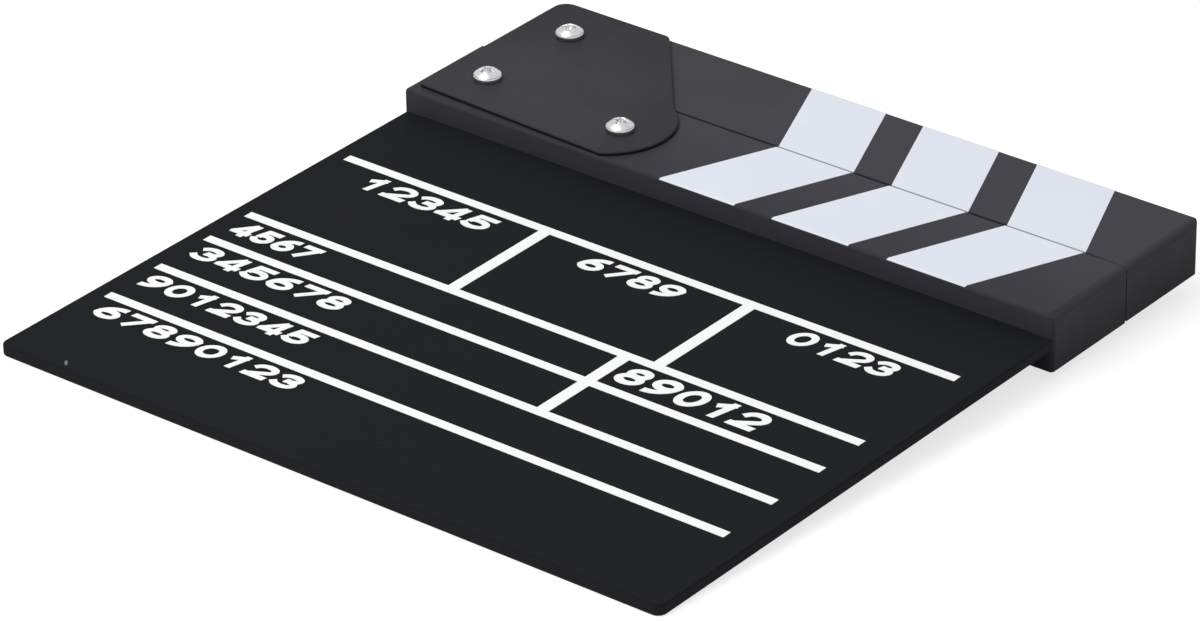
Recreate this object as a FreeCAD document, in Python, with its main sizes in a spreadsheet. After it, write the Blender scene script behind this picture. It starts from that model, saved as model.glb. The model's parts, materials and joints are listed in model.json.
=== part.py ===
import FreeCAD, Part
import math
import os
import re

import Sketcher

# Clapperboard: a black slate board in a grooved fixed stick, with a clap stick that swings on
# the pivot of a two-plate hinge. It lies face up: X runs along the sticks, Y from the board's
# low edge to the clap stick, Z out of the written face. The origin is under the middle of it.
# All sizes are in millimetres.

doc = FreeCAD.newDocument("clapperboard")
sheet = doc.addObject("Spreadsheet::Sheet", "Sizes")

SIZES = {
    # slate board
    "board_width": 200.0,
    "board_face": 152.2,
    "board_thick": 3.0,
    "board_corner": 2.5,
    "board_round": 0.5,
    "tongue_inset": 6.0,
    "shoulder_room": 0.1,
    # sticks, as long as the board is wide
    "stick_width": 31.3,
    "stick_thick": 15.4,
    "near_round": 0.8,
    "edge_round": 0.5,
    "end_round": 2.0,
    "end_corner": 1.5,
    "groove_side_room": 0.1,
    "groove_end_room": 0.3,
    "groove_wall": 0.6,
    "seam_gap": 0.3,
    "clap_side_gap": 0.2,
    "clap_corner": 6.0,
    # hinge plates
    "plate_thick": 1.0,
    "plate_bevel": 0.3,
    "plate_side_inset": 1.5,
    "plate_near_inset": 3.3,
    "plate_far_inset": 0.3,
    "toe_inset": 0.6,
    "toe_seam_inset": 0.3,
    "toe_shoulder": 3.5,
    "toe_reach": 12.1,
    "plate_top_length": 35.0,
    "plate_top_corner": 4.0,
    "plate_diagonal_corner": 2.0,
    "plate_near_corner": 1.5,
    # hinge screws and their barrel nuts
    "pivot_trim": 1.35,
    "heel_screw_trim": 2.95,
    "screw_spread": 44.7,
    "toe_screw_drop": 2.2,
    "barrel_diameter": 5.0,
    "barrel_setback": 0.3,
    "barrel_head_diameter": 8.0,
    "barrel_head_height": 1.6,
    "barrel_head_bevel": 0.6,
    "barrel_room": 0.05,
    "thread_diameter": 3.0,
    "thread_room": 0.05,
    "thread_length": 9.0,
    "thread_end_room": 1.0,
    "screw_head_diameter": 7.5,
    "screw_head_height": 2.7,
    "screw_head_rim": 1.1,
    "recess_span": 3.8,
    "recess_arm": 0.9,
    "recess_depth": 1.5,
    # panel pins that hold the board in the groove
    "pin_wide": 1.2,
    "pin_thick": 1.0,
    "pin_length": 11.5,
    "pin_room": 0.05,
    "pin_end_room": 0.3,
    "pin_margin": 25.0,
    # white stripes on the front of the sticks
    "film_thick": 0.1,
    "film_drop": 0.15,
    "near_film_drop": 0.3,
    "stripe_start": 95.0,
    "stripe_width": 23.2,
    "stripe_pitch": 34.8,
    "fixed_lean": 13.5,
    "clap_lean": 12.7,
    # printed form on the board, measured from its left, right and low edges
    "print_thick": 0.08,
    "rule_width": 2.8,
    "divider_width": 3.4,
    "form_left": 4.6,
    "form_right": 7.1,
    "top_rule": 123.3,
    "second_rule": 85.4,
    "third_rule": 70.0,
    "fourth_rule": 51.9,
    "low_rule": 33.8,
    "first_divider": 69.4,
    "second_divider": 132.5,
    "third_divider": 123.9,
}

PIN_COUNT = 4
STRIPE_COUNT = 3

for row, (alias, value) in enumerate(SIZES.items(), start=1):
    sheet.set(f"A{row}", alias)
    sheet.set(f"B{row}", str(value))
    sheet.setAlias(f"B{row}", alias)
doc.recompute()


def sized(formula):
    """Gives the expression for a formula in aliases, each alias led by the sheet's name."""
    return re.sub(r"[a-z]\w*", lambda word: f"Sizes.{word[0]}" if word[0] in SIZES else word[0], formula)


def number(formula):
    """Gives the value of a formula in aliases."""
    return float(sheet.evalExpression(sized(formula)))


# Planes and lines that several pieces share, as formulas in the sheet's aliases
LOW_EDGE = "(0 - (board_face + 2 * stick_width + seam_gap) / 2)"
NEAR_EDGE = f"({LOW_EDGE} + board_face)"
CLAP_EDGE = f"({NEAR_EDGE} + stick_width + seam_gap)"
LEFT_END = "(0 - board_width / 2)"
CLAP_END = f"({LEFT_END} + plate_side_inset)"
STICK_BACK = "(barrel_head_height + plate_thick)"
STICK_FRONT = f"({STICK_BACK} + stick_thick)"
BOARD_BACK = f"({STICK_BACK} + stick_thick / 2 - board_thick / 2)"
BOARD_FRONT = f"({BOARD_BACK} + board_thick)"
GRIP = "(stick_thick + 2 * plate_thick)"
GROOVE_GAP = "(board_thick + 2 * groove_side_room)"
SCREW_LINE = f"({NEAR_EDGE} + stick_width / 2)"
TOE_LINE = f"({SCREW_LINE} - toe_screw_drop)"
PIVOT_ALONG = "(plate_side_inset + stick_width / 2 - pivot_trim)"
HEEL_ALONG = "(plate_side_inset + stick_width / 2 - heel_screw_trim)"
TOE_ALONG = f"({HEEL_ALONG} + screw_spread)"
PIVOT_LINE = f"({CLAP_EDGE} + stick_width / 2)"
HOLE_RADIUS = "(barrel_diameter / 2 + barrel_room)"
PIN_STEP = f"((board_width - 2 * pin_margin) / {PIN_COUNT - 1})"
GROOVE_DEPTH = f"(stick_width / 2 - toe_screw_drop - {HOLE_RADIUS} - groove_wall)"
TONGUE_DEPTH = f"({GROOVE_DEPTH} - groove_end_room)"
PIN_LINE = f"({TONGUE_DEPTH} / 2)"


def place(piece, x, y, z):
    """Binds a piece's position to three formulas."""
    piece.setExpression("Placement.Base.x", sized(x))
    piece.setExpression("Placement.Base.y", sized(y))
    piece.setExpression("Placement.Base.z", sized(z))


def body(label):
    """Makes an empty body for the piece of that name."""
    piece = doc.addObject("PartDesign::Body", label)
    piece.Label = label
    return piece


def sketch_on(piece, plane, name):
    """Starts a sketch on one of the body's own origin planes."""
    sketch = piece.newObject("Sketcher::SketchObject", name)
    support = next(item for item in piece.Origin.OriginFeatures if item.Role == plane)
    sketch.AttachmentSupport = [(support, "")]
    sketch.MapMode = "FlatFace"
    return sketch


def dimension(sketch, kind, first, second, formula):
    """Adds a named driving dimension to a sketch and binds it to a formula."""
    name = f"{kind.lower()}_{sketch.ConstraintCount}"
    value = number(formula)
    index = sketch.addConstraint(Sketcher.Constraint(kind, *first, *second, value))
    sketch.renameConstraint(index, name)
    sketch.setExpression(f"Constraints.{name}", sized(formula))


def locate(sketch, geometry, point, x, y):
    """Dimensions a point of a sketch from the origin, or sets it on an axis where x or y is zero."""
    origin = (-1, 1)
    across = -2
    along = -1
    if x == "0":
        sketch.addConstraint(Sketcher.Constraint("PointOnObject", geometry, point, across))
    else:
        dimension(sketch, "DistanceX", origin, (geometry, point), x)
    if y == "0":
        sketch.addConstraint(Sketcher.Constraint("PointOnObject", geometry, point, along))
    else:
        dimension(sketch, "DistanceY", origin, (geometry, point), y)


def arc_between(start, end, radius, turn):
    """Gives the short arc from start to end, and whether it runs the other way round.

    turn is 1 where the outline bends to the left on its way and -1 where it bends to the right.
    """
    chord = end - start
    left = FreeCAD.Vector(-chord.y, chord.x, 0).normalize()
    rise = math.sqrt(max(radius ** 2 - (chord.Length / 2) ** 2, 0.0))
    centre = (start + end) / 2 + left * (rise * turn)
    first, last = (start, end) if turn > 0 else (end, start)
    angles = [math.atan2(p.y - centre.y, p.x - centre.x) for p in (first, last)]
    circle = Part.Circle(centre, FreeCAD.Vector(0, 0, 1), radius)
    return Part.ArcOfCircle(circle, *angles), turn < 0


def outline(sketch, corners):
    """Draws a closed outline through the corners (x, y), each dimensioned from the origin.

    A corner (x, y, radius, turn) is joined to the next corner by an arc instead of a line.
    """
    points = [FreeCAD.Vector(number(c[0]), number(c[1]), 0) for c in corners]
    ends = []
    for index, corner in enumerate(corners):
        start = points[index]
        end = points[(index + 1) % len(points)]
        if len(corner) == 2:
            geometry = sketch.addGeometry(Part.LineSegment(start, end))
            ends.append((geometry, 1, 2))
            continue
        arc, backward = arc_between(start, end, number(corner[2]), corner[3])
        geometry = sketch.addGeometry(arc)
        ends.append((geometry, 2, 1) if backward else (geometry, 1, 2))
    for index, corner in enumerate(corners):
        geometry, start, end = ends[index]
        following, next_start = ends[(index + 1) % len(ends)][:2]
        sketch.addConstraint(Sketcher.Constraint("Coincident", geometry, end, following, next_start))
        locate(sketch, geometry, start, corner[0], corner[1])
        if len(corner) > 2:
            dimension(sketch, "Radius", (geometry,), (), corner[2])


def circle(sketch, x, y, radius):
    """Draws a dimensioned circle."""
    centre = FreeCAD.Vector(number(x), number(y), 0)
    geometry = sketch.addGeometry(Part.Circle(centre, FreeCAD.Vector(0, 0, 1), number(radius)))
    locate(sketch, geometry, 3, x, y)
    dimension(sketch, "Radius", (geometry,), (), radius)


def pad(piece, sketch, length):
    """Raises a sketch by a formula's length along its normal."""
    feature = piece.newObject("PartDesign::Pad", "Pad")
    feature.Profile = sketch
    feature.setExpression("Length", sized(length))
    doc.recompute()
    return feature


def pocket(piece, sketch, depth=None, upward=True):
    """Cuts a sketch to a depth, or right through where none is given."""
    before = piece.Tip.Shape.Volume
    feature = piece.newObject("PartDesign::Pocket", "Pocket")
    feature.Profile = sketch
    feature.Reversed = upward
    if depth is None:
        feature.Type = "ThroughAll"
    else:
        feature.setExpression("Length", sized(depth))
    doc.recompute()
    if feature.Shape.Volume >= before:
        raise RuntimeError(f"{piece.Label}: {sketch.Name} cuts nothing")
    return feature


def revolve(piece, sketch):
    """Turns a sketch once round its vertical axis."""
    feature = piece.newObject("PartDesign::Revolution", "Revolution")
    feature.Profile = sketch
    feature.ReferenceAxis = (sketch, ["V_Axis"])
    feature.Angle = 360
    doc.recompute()
    return feature


def fillet(piece, chosen, radius):
    """Rounds those edges of a body's last feature that chosen accepts."""
    base = piece.Tip
    names = [f"Edge{n}" for n, edge in enumerate(base.Shape.Edges, start=1) if chosen(edge)]
    if not names:
        raise RuntimeError(f"{piece.Label}: no edge to round")
    feature = piece.newObject("PartDesign::Fillet", "Fillet")
    feature.Base = (base, names)
    feature.setExpression("Radius", sized(radius))
    doc.recompute()
    return feature


def chamfer(piece, chosen, size):
    """Bevels those edges of a body's last feature that chosen accepts."""
    base = piece.Tip
    names = [f"Edge{n}" for n, edge in enumerate(base.Shape.Edges, start=1) if chosen(edge)]
    if not names:
        raise RuntimeError(f"{piece.Label}: no edge to bevel")
    feature = piece.newObject("PartDesign::Chamfer", "Chamfer")
    feature.Base = (base, names)
    feature.setExpression("Size", sized(size))
    doc.recompute()
    return feature


def stands_at(x, y):
    """Accepts the upright edges at one corner of an outline."""
    corner = FreeCAD.Vector(number(x), number(y), 0)

    def chosen(edge):
        first = edge.Vertexes[0].Point
        last = edge.Vertexes[-1].Point
        upright = first != last and math.hypot(first.x - last.x, first.y - last.y) < 1e-6
        return upright and math.hypot(first.x - corner.x, first.y - corner.y) < 1e-4
    return chosen


def lies_at(*heights):
    """Accepts the edges that lie flat at one of some heights."""
    levels = [number(height) for height in heights]

    def chosen(edge):
        box = edge.BoundBox
        return box.ZLength < 1e-6 and any(abs(box.ZMin - level) < 1e-4 for level in levels)
    return chosen


def pin_holes(piece, line, depth=None):
    """Cuts the row of four-sided holes for the panel pins along a line of a piece."""
    half_wide = "(pin_wide / 2 + pin_room)"
    half_thick = "(pin_thick / 2 + pin_room)"
    holes = sketch_on(piece, "XY_Plane", "PinHoles")
    for index in range(PIN_COUNT):
        across = f"(pin_margin + {index} * {PIN_STEP})"
        left, right = f"({across} - {half_wide})", f"({across} + {half_wide})"
        low, high = f"({line} - {half_thick})", f"({line} + {half_thick})"
        outline(holes, [(left, low), (right, low), (right, high), (left, high)])
    pocket(piece, holes, depth)


def ease_free_end(piece, length, thick):
    """Rounds the front edge of a stick's free end, right across its width."""
    bend = f"({length} - end_round)"
    past = f"({length} + end_round)"
    turned = f"({thick} - end_round)"
    beyond = f"({thick} + end_round)"
    cut = sketch_on(piece, "XZ_Plane", "EndCut")
    outline(cut, [
        (bend, thick, "end_round", -1),
        (length, turned), (past, turned), (past, beyond), (bend, beyond),
    ])
    pocket(piece, cut, upward=False)


def round_free_corner(piece, length, edge, inward):
    """Rounds the upright corner of a stick's free end at one edge; inward is 1 where Y leads into the stick."""
    bend = f"({length} - end_corner)"
    past = f"({length} + end_corner)"
    inner = f"({edge} + {inward} * end_corner)"
    outer = f"({edge} - {inward} * end_corner)"
    cut = sketch_on(piece, "XY_Plane", "CornerCut")
    outline(cut, [
        (bend, edge, "end_corner", inward),
        (length, inner), (past, inner), (past, outer), (bend, outer),
    ])
    pocket(piece, cut)


def slate_board():
    """The written panel, with its upper margin as the tongue in the fixed stick's groove.

    The tongue is shorter than the panel is wide, so that the groove doesn't show at the ends.
    """
    piece = body("slate_board")
    shoulder = "(board_face - shoulder_room)"
    height = f"(board_face + {TONGUE_DEPTH})"
    tongue_end = "(board_width - tongue_inset)"
    shape = sketch_on(piece, "XY_Plane", "BoardOutline")
    outline(shape, [
        ("0", "0"), ("board_width", "0"), ("board_width", shoulder), (tongue_end, shoulder),
        (tongue_end, height), ("tongue_inset", height), ("tongue_inset", shoulder), ("0", shoulder),
    ])
    pad(piece, shape, "board_thick")
    fillet(piece, stands_at("0", "0"), "board_corner")
    fillet(piece, stands_at("board_width", "0"), "board_corner")
    middle = number("board_face / 2")

    def rim(edge):
        return lies_at("0", "board_thick")(edge) and edge.BoundBox.YMin < middle
    fillet(piece, rim, "board_round")
    pin_holes(piece, f"(board_face + {PIN_LINE})")
    place(piece, LEFT_END, LOW_EDGE, BOARD_BACK)
    return piece


def fixed_stick():
    """The lower stick, with a stopped groove for the board and holes for two barrel nuts and the pins."""
    piece = body("fixed_stick")
    section = sketch_on(piece, "YZ_Plane", "StickSection")
    seam_bend = "(stick_width - edge_round)"
    outline(section, [
        ("edge_round", "0"),
        (seam_bend, "0", "edge_round", 1),
        ("stick_width", "edge_round"),
        ("stick_width", "(stick_thick - edge_round)", "edge_round", 1),
        (seam_bend, "stick_thick"),
        ("near_round", "stick_thick", "near_round", 1),
        ("0", "(stick_thick - near_round)"),
        ("0", "edge_round", "edge_round", 1),
    ])
    pad(piece, section, "board_width")
    ease_free_end(piece, "board_width", "stick_thick")
    round_free_corner(piece, "board_width", "0", 1)
    low = f"(stick_thick / 2 - {GROOVE_GAP} / 2)"
    high = f"(stick_thick / 2 + {GROOVE_GAP} / 2)"
    left = "(tongue_inset - groove_end_room)"
    right = "(board_width - tongue_inset + groove_end_room)"
    groove = sketch_on(piece, "XZ_Plane", "Groove")
    outline(groove, [(left, low), (right, low), (right, high), (left, high)])
    pocket(piece, groove, GROOVE_DEPTH, upward=False)
    holes = sketch_on(piece, "XY_Plane", "BarrelHoles")
    circle(holes, HEEL_ALONG, "(stick_width / 2)", HOLE_RADIUS)
    circle(holes, TOE_ALONG, "(stick_width / 2 - toe_screw_drop)", HOLE_RADIUS)
    pocket(piece, holes)
    pin_holes(piece, PIN_LINE, "(pin_length + pin_end_room)")
    place(piece, LEFT_END, NEAR_EDGE, STICK_BACK)
    return piece


def clap_stick():
    """The upper stick: its heel is rounded about the pivot, so that it rolls clear as it opens."""
    piece = body("clap_stick")
    thick = "(stick_thick - 2 * clap_side_gap)"
    length = "(board_width - plate_side_inset)"
    far_bend = "(stick_width - edge_round)"
    front_bend = f"({thick} - edge_round)"
    section = sketch_on(piece, "YZ_Plane", "ClapSection")
    outline(section, [
        ("edge_round", "0"),
        (far_bend, "0", "edge_round", 1),
        ("stick_width", "edge_round"),
        ("stick_width", front_bend, "edge_round", 1),
        (far_bend, thick),
        ("edge_round", thick, "edge_round", 1),
        ("0", front_bend),
        ("0", "edge_round", "edge_round", 1),
    ])
    pad(piece, section, length)
    ease_free_end(piece, length, thick)
    round_free_corner(piece, length, "stick_width", -1)
    heel = "(stick_width / 2)"
    pivot = f"({PIVOT_ALONG} - plate_side_inset)"
    heel_top = f"({heel} - sqrt({heel} ^ 2 - {pivot} ^ 2))"
    corner = "(stick_width - clap_corner)"
    past = "(stick_width + clap_corner)"
    lost = sketch_on(piece, "XY_Plane", "HeelCuts")
    outline(lost, [
        (pivot, "0", heel, -1),
        ("0", heel_top), ("(0 - clap_corner)", heel_top),
        ("(0 - clap_corner)", "(0 - clap_corner)"), (pivot, "(0 - clap_corner)"),
    ])
    outline(lost, [
        ("clap_corner", "stick_width", "clap_corner", 1),
        ("0", corner), ("(0 - clap_corner)", corner),
        ("(0 - clap_corner)", past), ("clap_corner", past),
    ])
    pocket(piece, lost)
    hole = sketch_on(piece, "XY_Plane", "PivotHole")
    circle(hole, pivot, heel, HOLE_RADIUS)
    pocket(piece, hole)
    place(piece, CLAP_END, CLAP_EDGE, f"({STICK_BACK} + clap_side_gap)")
    return piece


def hinge_plate(label, height, outer_face):
    """A steel corner plate over both sticks, with a bulged toe about the toe screw.

    The toe is one arc from the near edge up to the seam. It bulges from its shoulder, where both
    its ends lie, to its reach, and the long diagonal leaves its upper end for the far edge.
    """
    piece = body(label)
    tall = "(2 * stick_width + seam_gap - plate_near_inset - plate_far_inset)"
    toe_x = f"({TOE_ALONG} - plate_side_inset)"
    toe_y = "(stick_width / 2 - toe_screw_drop - plate_near_inset)"
    shoulder = f"({toe_x} + toe_shoulder)"
    toe_low = "(toe_inset - plate_near_inset)"
    toe_high = "(stick_width - toe_seam_inset - plate_near_inset)"
    half = f"(({toe_high} - {toe_low}) / 2)"
    bulge = "(toe_reach - toe_shoulder)"
    toe_round = f"(({half} ^ 2 + {bulge} ^ 2) / (2 * {bulge}))"
    screw_height = "(stick_width / 2 - plate_near_inset)"
    pivot_height = f"({screw_height} + stick_width + seam_gap)"
    shape = sketch_on(piece, "XY_Plane", "PlateOutline")
    outline(shape, [
        ("0", "0"), (shoulder, toe_low, toe_round, 1), (shoulder, toe_high),
        ("plate_top_length", tall), ("0", tall),
    ])
    circle(shape, f"({HEEL_ALONG} - plate_side_inset)", screw_height, HOLE_RADIUS)
    circle(shape, toe_x, toe_y, HOLE_RADIUS)
    circle(shape, f"({PIVOT_ALONG} - plate_side_inset)", pivot_height, HOLE_RADIUS)
    pad(piece, shape, "plate_thick")
    fillet(piece, stands_at("0", tall), "plate_top_corner")
    fillet(piece, stands_at("plate_top_length", tall), "plate_diagonal_corner")
    fillet(piece, stands_at("0", "0"), "plate_near_corner")

    def rim(edge):
        hole = isinstance(edge.Curve, Part.Circle) and edge.isClosed()
        return lies_at(outer_face)(edge) and not hole
    chamfer(piece, rim, "plate_bevel")
    place(piece, CLAP_END, f"({NEAR_EDGE} + plate_near_inset)", height)
    return piece


def hinge_screw(label, x, y):
    """A pan-head screw with a crossed recess, seated on the front plate."""
    piece = body(label)
    thread = "(thread_diameter / 2)"
    head = "(screw_head_diameter / 2)"
    rim = "(thread_length + screw_head_rim)"
    top = "(thread_length + screw_head_height)"
    rise = "(screw_head_height - screw_head_rim)"
    dome = f"(({head} ^ 2 + {rise} ^ 2) / (2 * {rise}))"
    section = sketch_on(piece, "XZ_Plane", "ScrewSection")
    outline(section, [
        ("0", "0"), (thread, "0"), (thread, "thread_length"), (head, "thread_length"),
        (head, rim, dome, 1), ("0", top),
    ])
    revolve(piece, section)
    half_span = "(recess_span / 2)"
    half_arm = "(recess_arm / 2)"
    for name, wide, deep in (("RecessAlong", half_span, half_arm), ("RecessAcross", half_arm, half_span)):
        slot = sketch_on(piece, "XY_Plane", name)
        slot.setExpression("AttachmentOffset.Base.z", sized(top))
        outline(slot, [
            (f"(0 - {wide})", f"(0 - {deep})"), (wide, f"(0 - {deep})"),
            (wide, deep), (f"(0 - {wide})", deep),
        ])
        pocket(piece, slot, "recess_depth", upward=False)
    place(piece, x, y, f"({STICK_FRONT} + plate_thick - thread_length)")
    return piece


def barrel_nut(label, x, y):
    """A barrel nut through both plates, with a flat bevelled head on the back plate."""
    piece = body(label)
    barrel = "(barrel_diameter / 2)"
    head = "(barrel_head_diameter / 2)"
    bore = "(thread_diameter / 2 + thread_room)"
    top = f"(barrel_head_height + {GRIP} - barrel_setback)"
    floor = f"(barrel_head_height + {GRIP} - thread_length - thread_end_room)"
    section = sketch_on(piece, "XZ_Plane", "BarrelSection")
    outline(section, [
        ("0", "0"), (f"({head} - barrel_head_bevel)", "0"),
        (head, "barrel_head_bevel"), (head, "barrel_head_height"),
        (barrel, "barrel_head_height"), (barrel, top), (bore, top), (bore, floor), ("0", floor),
    ])
    revolve(piece, section)
    place(piece, x, y, "0")
    return piece


def panel_pin(label, place_in_row):
    """A headless brad of flat wire from the back of the fixed stick, through the board's tongue."""
    piece = body(label)
    point = "(pin_length - pin_wide)"
    side = sketch_on(piece, "XZ_Plane", "PinSide")
    outline(side, [
        ("0", "0"), ("pin_wide", "0"), ("pin_wide", point),
        ("(pin_wide / 2)", "pin_length"), ("0", point),
    ])
    pad(piece, side, "pin_thick")
    left = f"({LEFT_END} + pin_margin + {place_in_row} * {PIN_STEP} - pin_wide / 2)"
    place(piece, left, f"({NEAR_EDGE} + {PIN_LINE} + pin_thick / 2)", STICK_BACK)
    return piece


def stripe(label, number_along, edge, front, seam_is_far):
    """A white film over the front of a stick, down into the seam and a little over its outer edge.

    Its ends lean so that the stripes of the two sticks meet in a point to the right at the seam.
    Heights are taken from level, the stick's front, which is two roundings above the body's floor.
    """
    piece = body(label)
    turn = 1 if seam_is_far else -1
    outer_round = "near_round" if seam_is_far else "edge_round"
    fall = "near_film_drop" if seam_is_far else "film_drop"
    lean = "fixed_lean" if seam_is_far else "clap_lean"
    level = f"(2 * {outer_round})"

    def across(inward):
        """Gives the place across the stick of a distance from its outer edge."""
        return inward if seam_is_far else f"(stick_width - {inward})"
    skin = f"({outer_round} + film_thick)"
    drop = f"({outer_round} - {fall})"
    low = f"({level} - {fall})"
    top = f"({level} + film_thick)"
    seam_low = f"({level} - edge_round)"
    seam_skin = "(edge_round + film_thick)"
    inner = across(f"({outer_round} - sqrt({outer_round} ^ 2 - {drop} ^ 2))")
    outer = across(f"({outer_round} - sqrt({skin} ^ 2 - {drop} ^ 2))")
    bend = across(outer_round)
    seam_bend = across("(stick_width - edge_round)")
    seam_inner = across("stick_width") if seam_is_far else "0"
    seam_outer = across("(stick_width + film_thick)")
    section = sketch_on(piece, "YZ_Plane", "FilmSection")
    outline(section, [
        (outer, low),
        (inner, low, outer_round, -turn),
        (bend, level),
        (seam_bend, level, "edge_round", -turn),
        (seam_inner, seam_low),
        (seam_outer, seam_low, seam_skin, turn),
        (seam_bend, top),
        (bend, top, skin, turn),
    ])
    full = f"(stripe_width + {lean})"
    pad(piece, section, full)
    edge_side = across("(0 - film_thick)")
    lost = sketch_on(piece, "XY_Plane", "LeanCuts")
    outline(lost, [("0", edge_side), (lean, seam_outer), ("0", seam_outer)])
    outline(lost, [("stripe_width", edge_side), (full, edge_side), (full, seam_outer)])
    pocket(piece, lost)
    start = f"({LEFT_END} + stripe_start - {lean} + {number_along} * stripe_pitch)"
    place(piece, start, edge, f"({front} - {level})")
    return piece


def printed_line(name, x, y, wide, tall):
    """One straight line of the printed form, as a thin layer on the board."""
    line = doc.addObject("Part::Box", name)
    line.setExpression("Length", sized(wide))
    line.setExpression("Width", sized(tall))
    line.setExpression("Height", sized("print_thick"))
    place(line, f"({x} - board_width / 2)", f"({LOW_EDGE} + {y})", BOARD_FRONT)
    return line


def rule(name, height):
    """A long horizontal line of the form, centred on its height."""
    wide = "(board_width - form_left - form_right)"
    return printed_line(name, "form_left", f"({height} - rule_width / 2)", wide, "rule_width")


def divider(name, across, low, high):
    """An upright line of the form between two of its rules."""
    left = f"({across} - divider_width / 2)"
    return printed_line(name, left, low, "divider_width", f"({high} - {low})")


def form_grid():
    """The upper four rules of the form and the three dividers between them, as one print."""
    rules = ("top_rule", "second_rule", "third_rule", "fourth_rule")
    lines = [rule(f"line_{name}", name) for name in rules]
    lines.append(divider("line_first", "first_divider", "second_rule", "top_rule"))
    lines.append(divider("line_second", "second_divider", "second_rule", "top_rule"))
    lines.append(divider("line_third", "third_divider", "fourth_rule", "second_rule"))
    piece = doc.addObject("Part::MultiFuse", "form_grid")
    piece.Label = "form_grid"
    piece.Shapes = lines
    piece.Refine = True
    return piece


def screw_places():
    """The three screws of the hinge, each with its X and Y."""
    return {
        "pivot": (f"({LEFT_END} + {PIVOT_ALONG})", PIVOT_LINE),
        "heel": (f"({LEFT_END} + {HEEL_ALONG})", SCREW_LINE),
        "toe": (f"({LEFT_END} + {TOE_ALONG})", TOE_LINE),
    }


pieces = [slate_board(), fixed_stick(), clap_stick()]
pieces.append(hinge_plate("front_hinge_plate", STICK_FRONT, "plate_thick"))
pieces.append(hinge_plate("back_hinge_plate", "barrel_head_height", "0"))
for name, (x, y) in screw_places().items():
    pieces.append(hinge_screw(f"{name}_screw", x, y))
    pieces.append(barrel_nut(f"{name}_barrel", x, y))
for index in range(PIN_COUNT):
    pieces.append(panel_pin(f"panel_pin_{index + 1}", index))
for index in range(STRIPE_COUNT):
    clap_front = f"({STICK_FRONT} - clap_side_gap)"
    pieces.append(stripe(f"fixed_stripe_{index + 1}", index, NEAR_EDGE, STICK_FRONT, True))
    pieces.append(stripe(f"clap_stripe_{index + 1}", index, CLAP_EDGE, clap_front, False))
pieces.append(form_grid())
pieces.append(rule("form_line", "low_rule"))
doc.recompute()

for item in doc.Objects:
    if {"Invalid", "Error"} & set(item.State):
        raise RuntimeError(f"{item.Label} failed: {item.State}")
for piece in pieces:
    if piece.Shape.isNull() or not piece.Shape.isValid() or not piece.Shape.Solids:
        raise RuntimeError(f"{piece.Label} has no valid solid")

os.makedirs("parts", exist_ok=True)
for piece in pieces:
    piece.Shape.exportStep(f"parts/{piece.Label}.step")
    box = piece.Shape.BoundBox
    print(f"{piece.Label}: {len(piece.Shape.Solids)} solid, {piece.Shape.Volume:.1f} mm3, "
          f"z {box.ZMin:.2f} to {box.ZMax:.2f}")
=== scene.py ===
# %% [markdown]
# A small clapperboard lies face up: a black slate board in a grooved stick, a striped clap stick
# over it, and a black steel hinge plate with three bright screws at one end. The shapes that a
# workshop would cut come ready from the CAD frame. This lesson gives them paint, film and metal,
# and adds the printed digits and the finer screws. Blender and the frame count in metres, and MM
# turns a size that is written in millimetres into metres.

# %% Load the frame
import json

import bpy
import numpy as np
from mathutils import Matrix, Vector


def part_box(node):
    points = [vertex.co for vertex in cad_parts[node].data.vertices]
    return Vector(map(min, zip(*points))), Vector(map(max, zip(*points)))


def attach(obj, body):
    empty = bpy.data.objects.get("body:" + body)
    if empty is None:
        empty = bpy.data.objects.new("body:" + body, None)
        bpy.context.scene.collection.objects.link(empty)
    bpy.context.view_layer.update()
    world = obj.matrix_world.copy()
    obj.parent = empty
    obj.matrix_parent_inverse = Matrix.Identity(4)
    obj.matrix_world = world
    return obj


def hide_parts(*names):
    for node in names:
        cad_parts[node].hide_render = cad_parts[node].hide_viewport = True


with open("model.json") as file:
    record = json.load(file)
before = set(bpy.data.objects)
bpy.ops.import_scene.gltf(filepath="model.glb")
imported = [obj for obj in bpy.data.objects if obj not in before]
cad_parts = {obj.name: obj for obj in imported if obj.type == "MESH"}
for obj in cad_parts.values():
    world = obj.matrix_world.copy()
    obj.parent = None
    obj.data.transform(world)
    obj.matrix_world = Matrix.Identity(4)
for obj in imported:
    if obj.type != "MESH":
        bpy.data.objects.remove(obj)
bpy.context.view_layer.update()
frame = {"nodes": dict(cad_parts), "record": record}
nodes = frame["nodes"]
MM = 0.001
board_low, board_high = (np.array(corner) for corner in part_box("slate_board"))
print("frame:", len(nodes), "nodes; board", np.round((board_high - board_low) / MM, 2), "mm")

# %% [markdown]
# Every new shape here is a grid of points worked out as whole arrays. One helper lists the faces
# of a grid. The other makes points and faces into an object whose place is in its vertices, and
# says which body it rides on and which finish it wears. Building with numpy keeps each formula in
# sight, where modelling by hand would hide it in mouse moves.


# %% Grid helpers
def grid_faces(rows, columns, ring_rows=False, ring_columns=False, start=0):
    """Quads of a grid of points that are stored row by row and numbered from start.

    A ring joins the last row or column to the first.
    """
    i = np.arange(rows if ring_rows else rows - 1)[:, None]
    j = np.arange(columns if ring_columns else columns - 1)[None, :]
    below, beside = (i + 1) % rows, (j + 1) % columns
    corners = [i * columns + j, i * columns + beside, below * columns + beside, below * columns + j]
    return np.stack(corners, axis=-1).reshape(-1, 4) + start


def piece_from(name, points, faces, body, finish, smooth=True):
    """One finished object: points in metres in the frame, faces of any size, a body to ride on."""
    mesh = bpy.data.meshes.new(name)
    mesh.from_pydata(points.tolist(), [], [[int(k) for k in face] for face in faces])
    mesh.polygons.foreach_set("use_smooth", np.full(len(mesh.polygons), smooth))
    mesh.materials.append(finish)
    mesh.update()
    piece = bpy.data.objects.new(name, mesh)
    bpy.context.scene.collection.objects.link(piece)
    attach(piece, body)
    return piece


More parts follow.
